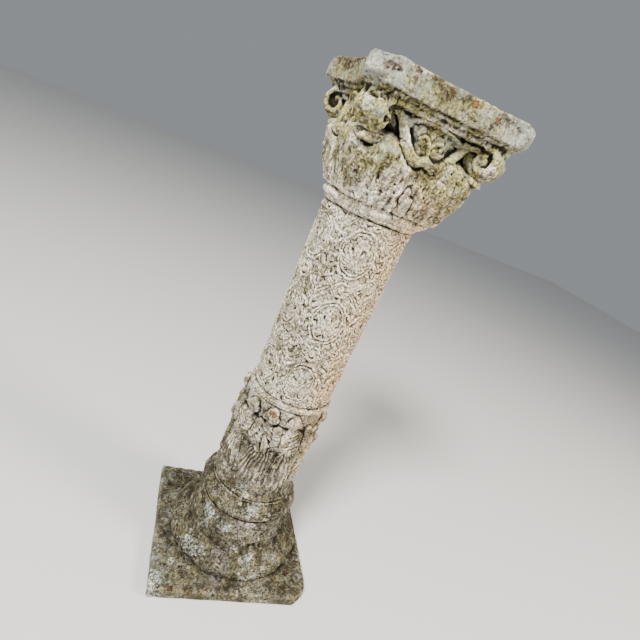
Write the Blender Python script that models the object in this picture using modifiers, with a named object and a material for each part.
"""Column pedestal cast in one piece: a square plinth, a moulded round base, a drum of draped
figures, a shaft with chains of ovals, and a leafy capital with four corner scrolls under a slab."""
import math

import bmesh
import bpy
from mathutils import Matrix, Vector

# Plinth and slab, metres
PLINTH_SIDE = 0.261
PLINTH_HEIGHT = 0.0195
PLINTH_EDGE = 0.0045
PLINTH_CHIP = 0.034
SLAB_SIDE = 0.219
SLAB_HEIGHT = 0.0285
SLAB_EDGE = 0.009
SLAB_CORNER = 0.018
SLAB_HOLLOW = 0.008
SLAB_WORN_HOLLOW = 0.017
CORNICE_INSET = 0.013
CORNICE_HEIGHT = 0.010

# Heights of the round mouldings, from the plinth up
LOWER_TORUS_HEIGHT = 0.046
NECK_HEIGHT = 0.052
UPPER_TORUS_HEIGHT = 0.031
LEDGE_HEIGHT = 0.0115
DRUM_HEIGHT = 0.1665
BAND_HEIGHT = 0.0105
SHAFT_HEIGHT = 0.288
ASTRAGAL_HEIGHT = 0.0165
BELL_HEIGHT = 0.1135

# Radii of the round mouldings
TORUS_FOOT_RADIUS = 0.107
TORUS_TOP_RADIUS = 0.090
TORUS_SWELL = 0.0135
NECK_FOOT_RADIUS = 0.0845
NECK_TOP_RADIUS = 0.0785
NECK_HOLLOW = 0.0025
UPPER_TORUS_SWELL = 0.0060
LEDGE_RADIUS = 0.0685
DRUM_RADIUS = 0.0620
BAND_RADIUS = 0.0672
SHAFT_FOOT_RADIUS = 0.0622
SHAFT_TOP_RADIUS = 0.0640
ASTRAGAL_RADIUS = 0.0705
BELL_FOOT_RADIUS = 0.0690
BELL_TOP_RADIUS = 0.0820
BELL_SWELL = 0.0050

# How far stacked parts sit off the shaft's axis, as cast
TORUS_SHIFT = (0.004, 0.0, 0.0)
DRUM_SHIFT = (-0.003, 0.0, 0.0)
CAPITAL_SHIFT = (0.0032, -0.0032, 0.0)

# Figures round the drum
FIGURES = 8
FIGURE_AZIMUTH = math.radians(-116)
FIGURE_HEIGHT = DRUM_HEIGHT
FIGURE_WIDTH = 0.047
FIGURE_DEPTH = 0.0085

# Chains of ovals on the shaft
CHAINS = 6
CHAIN_AZIMUTH = math.radians(-104)
CHAIN_LINKS = 3
CHAIN_FOOT = 0.005
CHAIN_HEAD = 0.012
OVAL_WIDTH = 0.050
OVAL_HEIGHT = 0.066
ROSETTE_WIDTH = 0.024
RIB_WIDTH = 0.0050
RIB_HEIGHT = 0.0020

# Capital: corner scrolls, stems, leaves
SCROLL_RADIUS = 0.0215
SCROLL_WIDTH = 0.045
SCROLL_SETBACK = 0.0375
SCROLL_DROP = 0.0155
SCROLL_RIB = 0.0036
SCROLL_TURNS = 1.4
SCROLL_WEB = 0.026
STEM_RADIUS = 0.0042
STEM_DROP = 0.047
STEM_SPREAD = 0.041
LEAF_HEIGHT = 0.078
LEAF_SWELL = 0.0235
LEAF_RIB = 0.009
LIP_WIDTH = 0.030
LIP_DEPTH = 0.006
# Leaf swell up the leaf: level as a share of its height, share of the full swell
LEAF_SHAPE = ((0.0, 0.2), (0.08, 0.42), (0.22, 0.56), (0.50, 0.76), (0.92, 1.0), (1.02, 0.78), (1.12, 0.0))
LOBE_HEIGHT = 0.044
LOBE_WIDTH = 0.028
LOBE_DEPTH = 0.0085

SIDES = 28
BELL_SIDES = 24
DRAPE_POINTS = 9
WELD = 0.00001
OVERLAP = 0.001

# Levels worked out from the heights
TORUS_FOOT = PLINTH_HEIGHT
TORUS_TOP = TORUS_FOOT + LOWER_TORUS_HEIGHT
NECK_TOP = TORUS_TOP + NECK_HEIGHT
LEDGE_FOOT = NECK_TOP + UPPER_TORUS_HEIGHT
DRUM_FOOT = LEDGE_FOOT + LEDGE_HEIGHT
DRUM_TOP = DRUM_FOOT + DRUM_HEIGHT
SHAFT_FOOT = DRUM_TOP + BAND_HEIGHT
SHAFT_TOP = SHAFT_FOOT + SHAFT_HEIGHT
BELL_FOOT = SHAFT_TOP + ASTRAGAL_HEIGHT
BELL_TOP = BELL_FOOT + BELL_HEIGHT
CORNICE_TOP = BELL_TOP + CORNICE_HEIGHT
TOP = CORNICE_TOP + SLAB_HEIGHT


def clear_scene():
    for item in list(bpy.data.objects):
        bpy.data.objects.remove(item, do_unlink=True)


def new_collection(name):
    made = bpy.data.collections.new(name)
    bpy.context.scene.collection.children.link(made)
    return made


def new_object(name, mesh, collection):
    made = bpy.data.objects.new(name, mesh)
    collection.objects.link(made)
    return made


def stone_material():
    stone = bpy.data.materials.new("cast_stone")
    stone.use_nodes = True
    shader = stone.node_tree.nodes["Principled BSDF"]
    shader.inputs["Base Color"].default_value = (0.47, 0.43, 0.34, 1.0)
    shader.inputs["Roughness"].default_value = 0.92
    shader.inputs["Metallic"].default_value = 0.0
    return stone


def bulged(foot, top, swell, steps):
    """Points from (r, z) top down to (r, z) foot, bowed outwards by swell at mid height."""
    points = []
    for i in range(steps + 1):
        t = i / steps
        bow = swell * math.sin(math.pi * t)
        radius = top[0] + (foot[0] - top[0]) * t + bow
        points.append((radius, top[1] + (foot[1] - top[1]) * t))
    return points


def core_profile():
    """Outer side of the round core, from inside the slab down to inside the plinth."""
    ledge_mid = LEDGE_FOOT + LEDGE_HEIGHT * 0.45
    step = LEDGE_HEIGHT * 0.12
    lip = BAND_HEIGHT * 0.25
    points = [(0.0, BELL_FOOT + ASTRAGAL_HEIGHT)]
    points.append((SHAFT_TOP_RADIUS, BELL_FOOT + ASTRAGAL_HEIGHT))
    points += bulged(
        (SHAFT_TOP_RADIUS, SHAFT_TOP),
        (SHAFT_TOP_RADIUS, BELL_FOOT),
        ASTRAGAL_RADIUS - SHAFT_TOP_RADIUS,
        4,
    )
    points.append((SHAFT_FOOT_RADIUS, SHAFT_FOOT))
    points.append((BAND_RADIUS, SHAFT_FOOT - lip))
    points.append((BAND_RADIUS, DRUM_TOP + lip))
    points.append((DRUM_RADIUS * 0.9, DRUM_TOP))
    points.append((DRUM_RADIUS * 0.9, DRUM_FOOT + step))
    points.append((LEDGE_RADIUS, DRUM_FOOT))
    points.append((LEDGE_RADIUS, ledge_mid + step))
    points.append((LEDGE_RADIUS - step, ledge_mid))
    points.append((LEDGE_RADIUS + step, ledge_mid - step))
    points.append((LEDGE_RADIUS + step, LEDGE_FOOT))
    points += bulged(
        (NECK_TOP_RADIUS, NECK_TOP),
        (LEDGE_RADIUS + 2 * step, LEDGE_FOOT - step),
        UPPER_TORUS_SWELL,
        4,
    )
    points += bulged(
        (NECK_FOOT_RADIUS, TORUS_TOP + step),
        (NECK_TOP_RADIUS - step, NECK_TOP - step),
        -NECK_HOLLOW,
        2,
    )
    points.append((NECK_FOOT_RADIUS, TORUS_TOP - step))
    points.append((NECK_TOP_RADIUS, TORUS_TOP - step))
    points.append((NECK_TOP_RADIUS, TORUS_FOOT * 0.5))
    points.append((0.0, TORUS_FOOT * 0.5))
    return points


def torus_profile():
    """The wide lower moulding, which sits a little off the column's axis."""
    points = [(0.0, TORUS_TOP)]
    points += bulged((TORUS_FOOT_RADIUS, TORUS_FOOT), (TORUS_TOP_RADIUS, TORUS_TOP), TORUS_SWELL, 5)
    points.append((TORUS_FOOT_RADIUS - OVERLAP, TORUS_FOOT * 0.5))
    points.append((0.0, TORUS_FOOT * 0.5))
    return points


def drum_profile():
    """The plain round ground behind the figures."""
    points = [(0.0, DRUM_TOP + OVERLAP), (DRUM_RADIUS, DRUM_TOP + OVERLAP)]
    return points + [(DRUM_RADIUS, DRUM_FOOT - OVERLAP), (0.0, DRUM_FOOT - OVERLAP)]


def shaft_radius(z, azimuth=0.0):
    t = (z - SHAFT_FOOT) / SHAFT_HEIGHT
    return SHAFT_FOOT_RADIUS + (SHAFT_TOP_RADIUS - SHAFT_FOOT_RADIUS) * t


def bell_radius(z, azimuth=0.0):
    t = min(1.0, max(0.0, (z - BELL_FOOT) / BELL_HEIGHT))
    straight = BELL_FOOT_RADIUS + (BELL_TOP_RADIUS - BELL_FOOT_RADIUS) * t
    return straight + BELL_SWELL * math.sin(math.pi * t)


def leaf_radius(z, azimuth):
    """The bell's surface with a broad leaf swelling out towards each corner."""
    level = (z - BELL_FOOT) / LEAF_HEIGHT
    for (low, start), (high, end) in zip(LEAF_SHAPE, LEAF_SHAPE[1:]):
        if low <= level <= high:
            share = start + (end - start) * (level - low) / (high - low)
            return bell_radius(z) + LEAF_SWELL * share * abs(math.sin(2 * azimuth))
    return bell_radius(z)


def turned(name, profile, collection):
    mesh = bpy.data.meshes.new(name)
    mesh.from_pydata([(r, 0.0, z) for r, z in profile], [(i, i + 1) for i in range(len(profile) - 1)], [])
    made = new_object(name, mesh, collection)
    screw = made.modifiers.new("turn", "SCREW")
    screw.steps = SIDES
    screw.render_steps = SIDES
    screw.use_merge_vertices = True
    screw.merge_threshold = WELD
    screw.use_smooth_shade = True
    return made


def box(name, size, place, edge, collection):
    mesh = bpy.data.meshes.new(name)
    shape = bmesh.new()
    bmesh.ops.create_cube(shape, size=1.0)
    bmesh.ops.scale(shape, vec=Vector(size), verts=shape.verts)
    shape.to_mesh(mesh)
    shape.free()
    made = new_object(name, mesh, collection)
    made.location = place
    if edge > 0:
        bevel = made.modifiers.new("worn_edge", "BEVEL")
        bevel.width = edge
        bevel.segments = 2
    return made


def slab_outline(half, corner):
    """Square outline with round corners and slightly hollow sides, the one at -X worn deeper."""
    points = []
    reach = half - corner
    for side in range(4):
        turn = Matrix.Rotation(side * math.pi / 2, 2)
        hollow = SLAB_WORN_HOLLOW if side == 2 else SLAB_HOLLOW
        for share in (-0.6, 0.0, 0.6):
            points.append(turn @ Vector((half - hollow * (1.0 - share * share), half * 0.85 * share)))
        for step in range(3):
            angle = step * math.pi / 4
            points.append(turn @ (Vector((reach, reach)) + corner * Vector((math.cos(angle), math.sin(angle)))))
    return points


def flat_slab(name, half, foot, top, edge, collection):
    """A slab with a rounded rim, as a flat outline with thickness and bevel."""
    curve = bpy.data.curves.new(name, "CURVE")
    curve.dimensions = "2D"
    curve.fill_mode = "BOTH"
    outline = slab_outline(half - edge, SLAB_CORNER - edge)
    spline = curve.splines.new("POLY")
    spline.points.add(len(outline) - 1)
    for point, place in zip(spline.points, outline):
        point.co = (place.x, place.y, 0.0, 1.0)
    spline.use_cyclic_u = True
    curve.extrude = (top - foot) / 2 - edge
    curve.bevel_depth = edge
    curve.bevel_resolution = 1
    guide = new_object(name + "_guide", curve, collection)
    guide.location = (0.0, 0.0, (top + foot) / 2)
    return as_mesh(guide, name, collection)


def as_mesh(guide, name, collection):
    """Turns a curve into a welded closed mesh in the same place."""
    bpy.context.view_layer.update()
    evaluated = guide.evaluated_get(bpy.context.evaluated_depsgraph_get())
    mesh = bpy.data.meshes.new_from_object(evaluated)
    mesh.name = name
    shape = bmesh.new()
    shape.from_mesh(mesh)
    bmesh.ops.remove_doubles(shape, verts=shape.verts, dist=WELD)
    bmesh.ops.recalc_face_normals(shape, faces=shape.faces)
    shape.to_mesh(mesh)
    shape.free()
    made = new_object(name, mesh, collection)
    made.matrix_world = guide.matrix_world
    bpy.data.objects.remove(guide, do_unlink=True)
    return made


def tube(name, points, radius, collection, ends=1.0):
    """A rib through the points, tapered to ends times its radius at both tips."""
    curve = bpy.data.curves.new(name, "CURVE")
    curve.dimensions = "3D"
    curve.bevel_depth = radius
    curve.bevel_resolution = 0
    curve.use_fill_caps = True
    spline = curve.splines.new("POLY")
    spline.points.add(len(points) - 1)
    last = len(points) - 1
    for i, place in enumerate(points):
        spline.points[i].co = (place[0], place[1], place[2], 1.0)
        middle = math.sin(math.pi * i / last)
        spline.points[i].radius = ends + (1.0 - ends) * middle
    return as_mesh(new_object(name + "_guide", curve, collection), name, collection)


def ridge(name, path, width, height, collection):
    """A closed V-shaped rib along a loop of (x, z) points on the flat relief, apex outwards."""
    mesh = bpy.data.meshes.new(name)
    shape = bmesh.new()
    rings = []
    count = len(path)
    for i in range(count):
        ahead = Vector(path[(i + 1) % count]) - Vector(path[i - 1])
        across = Vector((-ahead.y, ahead.x)).normalized() * width / 2
        x, z = path[i]
        ring = [(x - across.x, -OVERLAP, z - across.y), (x, height, z), (x + across.x, -OVERLAP, z + across.y)]
        rings.append([shape.verts.new(place) for place in ring])
    for i in range(count):
        here, there = rings[i], rings[(i + 1) % count]
        for j in range(3):
            k = (j + 1) % 3
            shape.faces.new((here[j], here[k], there[k], there[j]))
    bmesh.ops.recalc_face_normals(shape, faces=shape.faces)
    shape.to_mesh(mesh)
    shape.free()
    return new_object(name, mesh, collection)


def band(name, path, heights, width, collection, sunk=0.0):
    """An open V-shaped rib along (x, z) points, its apex at each height and its foot at sunk."""
    sections = []
    last = len(path) - 1
    for i, (x, z) in enumerate(path):
        ahead = Vector(path[min(i + 1, last)]) - Vector(path[max(i - 1, 0)])
        across = Vector((-ahead.y, ahead.x)).normalized() * width / 2
        foot = sunk - OVERLAP
        sections.append([(x - across.x, foot, z - across.y), (x, heights[i], z), (x + across.x, foot, z + across.y)])
    return loft(name, sections, collection)


def boss(name, outline, apex, collection):
    """A low faceted boss: a flat outline of (x, z) points, sunk a little, under one raised point."""
    mesh = bpy.data.meshes.new(name)
    shape = bmesh.new()
    rim = [shape.verts.new((x, -OVERLAP, z)) for x, z in outline]
    top = shape.verts.new(apex)
    for i in range(len(rim)):
        shape.faces.new((rim[i], rim[(i + 1) % len(rim)], top))
    shape.faces.new(list(reversed(rim)))
    bmesh.ops.recalc_face_normals(shape, faces=shape.faces)
    shape.to_mesh(mesh)
    shape.free()
    return new_object(name, mesh, collection)


def ellipsoid(name, place, radii, collection, tilt=0.0, around=8, levels=6):
    """An egg form; tilt turns it in the plane of the relief."""
    mesh = bpy.data.meshes.new(name)
    shape = bmesh.new()
    bmesh.ops.create_uvsphere(shape, u_segments=around, v_segments=levels, radius=1.0)
    frame = Matrix.Translation(place) @ Matrix.Rotation(tilt, 4, "Y") @ Matrix.Diagonal((*radii, 1.0))
    bmesh.ops.transform(shape, matrix=frame, verts=shape.verts)
    shape.to_mesh(mesh)
    shape.free()
    return new_object(name, mesh, collection)


def loft(name, sections, collection):
    """A closed skin over rings that all have the same number of points."""
    mesh = bpy.data.meshes.new(name)
    shape = bmesh.new()
    rings = [[shape.verts.new(point) for point in section] for section in sections]
    count = len(rings[0])
    for low, high in zip(rings, rings[1:]):
        for i in range(count):
            j = (i + 1) % count
            shape.faces.new((low[i], low[j], high[j], high[i]))
    shape.faces.new(list(reversed(rings[0])))
    shape.faces.new(rings[-1])
    bmesh.ops.recalc_face_normals(shape, faces=shape.faces)
    shape.to_mesh(mesh)
    shape.free()
    return new_object(name, mesh, collection)


def half_section(x, z, half_width, depth, sunk, count):
    """Front half of an oval whose two ends and flat back are sunk below the ground of the relief."""
    points = [(x + half_width, -sunk, z)]
    for i in range(1, count - 1):
        angle = math.pi * i / (count - 1)
        points.append((x + half_width * math.cos(angle), depth * math.sin(angle), z))
    return points + [(x - half_width, -sunk, z)]


def draped_section(x, z, half_width, depth, fold):
    """Front half of an oval in which every second point is set back by a share of the depth."""
    points = []
    for i in range(DRAPE_POINTS):
        angle = math.pi * i / (DRAPE_POINTS - 1)
        reach = depth * math.sin(angle) * (1.0 - fold * (i % 2))
        points.append((x + half_width * math.cos(angle), reach - OVERLAP, z))
    return points


def wrap(made, radius_at, azimuth):
    """Bends a flat relief, X along it and Y outwards, onto the surface about the axis."""
    mesh = made.data
    for vertex in mesh.vertices:
        x, y, z = made.matrix_world @ vertex.co
        angle = azimuth + x / radius_at(z, azimuth)
        reach = radius_at(z, angle) + y
        vertex.co = (reach * math.cos(angle), reach * math.sin(angle), z)
    made.matrix_world = Matrix.Identity(4)
    mesh.update()
    return made


def copies(originals, turns, collection):
    """Turned copies of the pieces about the axis, sharing their meshes."""
    for turn in turns:
        for piece in originals:
            twin = new_object(piece.name + "_copy", piece.data, collection)
            twin.matrix_world = Matrix.Rotation(turn, 4, "Z") @ piece.matrix_world


def figure(name, lean, relief):
    """A draped standing figure in flat relief, head towards lean (-1, 0 or 1), feet at z = 0.

    A frontal figure holds a long leaf before it; a leaning one lifts its outer hand."""
    h = FIGURE_HEIGHT
    w = FIGURE_WIDTH / 2
    d = FIGURE_DEPTH
    side = lean if lean else 1
    head_x = lean * w * 0.60
    pieces = []
    body = [
        (0.02, 0.00, 0.88, 0.95, 0.26),
        (0.54, 0.04, 0.66, 1.00, 0.20),
        (0.75, 0.18, 0.76, 0.95, 0.00),
        (0.84, 0.40, 0.56, 0.60, 0.00),
    ]
    sections = []
    for level, shift, half, depth, fold in body:
        x = lean * w * shift
        sections.append(draped_section(x, level * h, half * w, depth * d, fold))
    pieces.append(loft(name + "_body", sections, relief))
    head = (head_x, 0.35 * d, 0.905 * h)
    pieces.append(ellipsoid(name + "_head", head, (0.42 * w, 0.80 * d, 0.083 * h), relief, 0.17 * lean, 6, 5))
    raised = [(-side * w * 0.74, 0.62 * h), (-side * w * 0.52, 0.87 * h)]
    bent = [(0.70 * w, 0.79 * h), (0.78 * w, 0.62 * h), (0.22 * w, 0.54 * h)]
    far_arm = [(side * x, z) for x, z in bent]
    near_arm = raised if lean else [(-x, z) for x, z in bent]
    for label, arm in (("near", near_arm), ("far", far_arm)):
        heights = [d * (0.85 + 0.15 * i) for i in range(len(arm))]
        pieces.append(band(f"{name}_{label}_arm", arm, heights, 0.40 * w, relief, 0.4 * d))
    if not lean:
        outline = [(0.05 * w, 0.48 * h), (0.26 * w, 0.58 * h), (0.12 * w, 0.67 * h), (-0.16 * w, 0.56 * h)]
        pieces.append(boss(name + "_leaf", outline, (0.06 * w, 1.4 * d, 0.58 * h), relief))
    return pieces


def figures(relief):
    """Frontal figures at every second place, each flanked by two that lean towards it."""
    leans = (0, -1, 0, 1) * (FIGURES // 4)
    for i, lean in enumerate(leans):
        azimuth = FIGURE_AZIMUTH + 2 * math.pi * i / FIGURES
        for piece in figure(f"figure_{i}", lean, relief):
            piece.data.transform(Matrix.Translation((0.0, 0.0, DRUM_FOOT)))
            wrap(piece, lambda z, angle: DRUM_RADIUS, azimuth)
            piece.location = DRUM_SHIFT


def oval_path(z, width, height, count):
    points = []
    for i in range(count):
        angle = 2 * math.pi * (i + 0.5) / count
        points.append((width / 2 * math.sin(angle), z + height / 2 * math.cos(angle)))
    return points


def palmette_outline(z, width, height):
    """Three pointed lobes over a narrow foot."""
    lobes = [(0.0, -0.5), (0.42, -0.20), (0.50, 0.22), (0.20, 0.10), (0.0, 0.5), (-0.20, 0.10), (-0.50, 0.22)]
    return [(x * width, z + y * height) for x, y in lobes + [(-0.42, -0.20)]]


def chains(relief):
    """Chains of leaf-filled ovals with small rosettes between them, round the shaft."""
    pitch = (SHAFT_HEIGHT - CHAIN_FOOT - CHAIN_HEAD - OVAL_HEIGHT) / (CHAIN_LINKS - 1)
    pieces = []
    for link in range(CHAIN_LINKS):
        centre = SHAFT_FOOT + CHAIN_FOOT + OVAL_HEIGHT / 2 + pitch * link
        oval = oval_path(centre, OVAL_WIDTH - RIB_WIDTH, OVAL_HEIGHT - RIB_WIDTH, 8)
        pieces.append(ridge(f"oval_{link}", oval, RIB_WIDTH, RIB_HEIGHT, relief))
        outline = palmette_outline(centre, OVAL_WIDTH * 0.58, OVAL_HEIGHT * 0.68)
        apex = (0.0, RIB_HEIGHT * 1.2, centre - OVAL_HEIGHT * 0.08)
        pieces.append(boss(f"palmette_{link}", outline, apex, relief))
        if link:
            middle = centre - pitch / 2
            outline = oval_path(middle, ROSETTE_WIDTH, pitch - OVAL_HEIGHT - RIB_WIDTH * 0.4, 6)
            pieces.append(boss(f"rosette_{link}", outline, (0.0, RIB_HEIGHT * 1.6, middle), relief))
    for piece in pieces:
        wrap(piece, shaft_radius, CHAIN_AZIMUTH)
    copies(pieces, [2 * math.pi * i / CHAINS for i in range(1, CHAINS)], relief)


def scroll(relief):
    """A corner scroll: a roll across the diagonal with a spiral rib and an eye on both sides."""
    diagonal = math.sqrt(2)
    reach = SLAB_SIDE / 2 * diagonal - SLAB_CORNER * (diagonal - 1) - SCROLL_SETBACK
    level = BELL_TOP - SCROLL_DROP
    pieces = []
    mesh = bpy.data.meshes.new("roll")
    shape = bmesh.new()
    radius = SCROLL_RADIUS
    bmesh.ops.create_cone(
        shape, cap_ends=True, segments=12, radius1=radius, radius2=radius, depth=SCROLL_WIDTH * 0.72
    )
    place = Matrix.Translation((reach, 0.0, level)) @ Matrix.Rotation(math.pi / 2, 4, "X")
    bmesh.ops.transform(shape, matrix=place, verts=shape.verts)
    shape.to_mesh(mesh)
    shape.free()
    pieces.append(new_object("roll", mesh, relief))
    inner = bell_radius(level) * 0.9
    outer = reach - SCROLL_RADIUS * 0.1
    foot = BELL_FOOT + LEAF_HEIGHT * 0.94
    top = BELL_TOP + CORNICE_HEIGHT * 0.5
    web = box("scroll_web", (outer - inner, SCROLL_WEB, top - foot), (0.0, 0.0, 0.0), 0.0, relief)
    web.data.transform(Matrix.Translation(((outer + inner) / 2, 0.0, (top + foot) / 2)))
    pieces.append(web)
    for side in (-1, 1):
        points = []
        count = 8
        for i in range(count + 1):
            t = i / count
            angle = math.pi * 0.75 - SCROLL_TURNS * 2 * math.pi * t
            radius = (SCROLL_RADIUS - SCROLL_RIB * 0.55) * (1.0 - 0.70 * t)
            across = side * SCROLL_WIDTH * 0.36
            points.append((reach + radius * math.cos(angle), across, level + radius * math.sin(angle)))
        pieces.append(tube(f"spiral_{side}", points, SCROLL_RIB, relief, ends=0.75))
    return pieces


def leaf_details(relief):
    """Three ribs up a corner leaf and the lip it curls out under its scroll."""
    pieces = []
    for i in (-1, 0, 1):
        path = [
            (i * LEAF_RIB * 1.1, BELL_FOOT + LEAF_HEIGHT * 0.15),
            (i * LEAF_RIB * 2.2, BELL_FOOT + LEAF_HEIGHT * 0.55),
            (i * LEAF_RIB * 1.3, BELL_FOOT + LEAF_HEIGHT * 0.95),
        ]
        pieces.append(band(f"leaf_rib_{i}", path, (LEAF_RIB * 0.3,) * 3, LEAF_RIB, relief, -LEAF_RIB * 0.4))
    place = (0.0, LIP_DEPTH / 3, BELL_FOOT + LEAF_HEIGHT * 0.94)
    pieces.append(ellipsoid("leaf_lip", place, (LIP_WIDTH / 2, LIP_DEPTH, LIP_DEPTH), relief, 0.0, 6, 5))
    for piece in pieces:
        wrap(piece, leaf_radius, math.pi / 4)
        piece.matrix_world = Matrix.Rotation(-math.pi / 4, 4, "Z")
    return pieces


def bell(relief):
    """The bell: one turned form that swells into four broad corner leaves."""
    levels = [BELL_FOOT - ASTRAGAL_HEIGHT * 0.3]
    levels += [BELL_FOOT + LEAF_HEIGHT * level for level, _ in LEAF_SHAPE] + [CORNICE_TOP]
    sections = []
    for z in levels:
        section = []
        for i in range(BELL_SIDES):
            angle = 2 * math.pi * i / BELL_SIDES
            reach = leaf_radius(z, angle)
            section.append((reach * math.cos(angle), reach * math.sin(angle), z))
        sections.append(section)
    loft("bell", sections, relief)


def face_parts(relief):
    """One face of the bell: a stem that dips between two scrolls, a palmette in it and a lobe."""
    stem_foot = BELL_TOP - STEM_DROP
    pieces = []
    points = []
    heights = []
    for i in range(9):
        t = i / 4 - 1.0
        x = STEM_SPREAD * math.copysign(abs(t) ** 0.85, t)
        points.append((x, BELL_TOP + OVERLAP - STEM_DROP * math.cos(t * math.pi / 2) ** 1.2))
        heights.append(STEM_RADIUS * (1.6 + abs(t)))
    pieces.append(band("stem", points, heights, STEM_RADIUS * 2.2, relief, -STEM_RADIUS))
    for side in (-1, 1):
        curl = [
            (-side * STEM_RADIUS * 0.3, stem_foot + STEM_DROP * 0.45),
            (side * STEM_SPREAD * 0.36, stem_foot + STEM_DROP * 0.62),
        ]
        pieces.append(band(f"curl_{side}", curl, (STEM_RADIUS,) * 2, STEM_RADIUS * 1.5, relief, -STEM_RADIUS))
    midrib = [(0.0, stem_foot + STEM_DROP * 0.08), (0.0, stem_foot + STEM_DROP * 0.56)]
    pieces.append(band("palmette_stem", midrib, (STEM_RADIUS * 1.2,) * 2, STEM_RADIUS * 1.5, relief, -STEM_RADIUS * 1.5))
    foot = BELL_FOOT - ASTRAGAL_HEIGHT * 0.2
    sections = []
    for level, width, depth in ((0.0, 0.5, 0.5), (0.2, 1.0, 1.0), (0.6, 0.9, 0.9), (1.0, 0.4, 0.4)):
        z = foot + LOBE_HEIGHT * level
        sections.append(half_section(0.0, z, LOBE_WIDTH / 2 * width, LOBE_DEPTH * depth, LOBE_DEPTH, 5))
    pieces.append(loft("lobe", sections, relief))
    for piece in pieces:
        wrap(piece, leaf_radius, 0.0)
    return pieces


def capital(relief):
    known = set(relief.objects)
    bell(relief)
    corner = scroll(relief) + leaf_details(relief)
    quarters = [math.pi / 2 * i for i in range(1, 4)]
    copies(face_parts(relief), quarters, relief)
    copies(corner, [math.pi / 4 + turn for turn in quarters], relief)
    for piece in corner:
        piece.matrix_world = Matrix.Rotation(math.pi / 4, 4, "Z") @ piece.matrix_world
    half = SLAB_SIDE / 2
    flat_slab("slab", half, CORNICE_TOP, TOP, SLAB_EDGE, relief)
    flat_slab("cornice", half - CORNICE_INSET, BELL_TOP, CORNICE_TOP + OVERLAP, OVERLAP * 2, relief)
    for piece in set(relief.objects) - known:
        piece.location += Vector(CAPITAL_SHIFT)


def base(relief):
    """The square plinth and the wide moulding on it."""
    torus = turned("lower_torus", torus_profile(), relief)
    torus.location = TORUS_SHIFT
    box(
        "plinth",
        (PLINTH_SIDE, PLINTH_SIDE, PLINTH_HEIGHT),
        (0.0, 0.0, PLINTH_HEIGHT / 2),
        PLINTH_EDGE,
        relief,
    )


def corner_chip(cutters):
    """The corner at +X, -Y is broken off across the diagonal."""
    reach = PLINTH_SIDE * math.sqrt(0.5) - PLINTH_CHIP * math.sqrt(0.5) / 2
    size = PLINTH_CHIP * 2
    chip = box("corner_chip", (size, size * 2, size), (0.0, 0.0, 0.0), 0.0, cutters)
    direction = Vector((1.0, -1.0, 0.0)).normalized()
    chip.matrix_world = (
        Matrix.Translation(direction * (reach + size / 2))
        @ Matrix.Rotation(-math.pi / 4, 4, "Z")
        @ Matrix.Rotation(math.radians(-12), 4, "Y")
    )
    return chip


def hide(collection):
    for item in collection.objects:
        item.hide_render = True
        item.display_type = "WIRE"


def join_all(core, relief, cutters):
    union = core.modifiers.new("relief", "BOOLEAN")
    union.operation = "UNION"
    union.operand_type = "COLLECTION"
    union.collection = relief
    union.solver = "EXACT"
    cut = core.modifiers.new("breaks", "BOOLEAN")
    cut.operation = "DIFFERENCE"
    cut.operand_type = "COLLECTION"
    cut.collection = cutters
    cut.solver = "EXACT"


def main():
    clear_scene()
    model = new_collection("column_pedestal")
    relief = new_collection("relief_shapes")
    cutters = new_collection("cutters")
    core = turned("column_pedestal", core_profile(), model)
    core.data.materials.append(stone_material())
    base(relief)
    turned("drum", drum_profile(), relief).location = DRUM_SHIFT
    figures(relief)
    chains(relief)
    capital(relief)
    corner_chip(cutters)
    hide(relief)
    hide(cutters)
    join_all(core, relief, cutters)


main()
